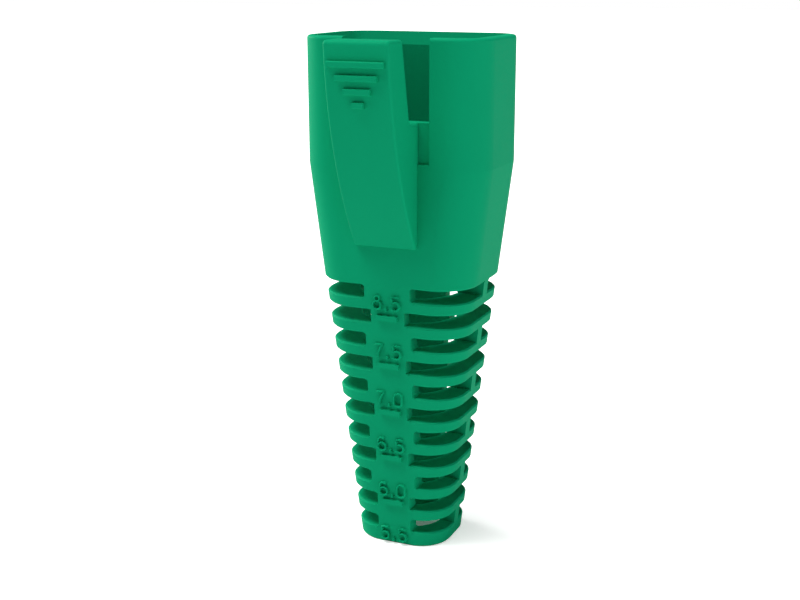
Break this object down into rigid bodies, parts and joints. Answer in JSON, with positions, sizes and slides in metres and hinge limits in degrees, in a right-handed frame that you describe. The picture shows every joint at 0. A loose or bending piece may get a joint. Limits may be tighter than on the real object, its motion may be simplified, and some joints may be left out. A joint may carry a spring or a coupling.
{
  "type": "rj45 strain relief boot",
  "caption": "Moulded strain relief boot for a modular network plug: hood with latch tongue above a tapered, slotted tail that grips the cable.",
  "frame": {"origin": "middle of the tail's end face, on the cable bore's axis", "axes": "+Z along the cable towards the mouth that takes the plug, -Y towards the latch tongue, X across the hood's width"},
  "size_m": [0.015, 0.0152, 0.0407],
  "materials": {
    "soft_pvc": "satin moulded"
  },
  "bodies": {
    "root": {"boot": "soft_pvc"}
  },
  "joints": []
}
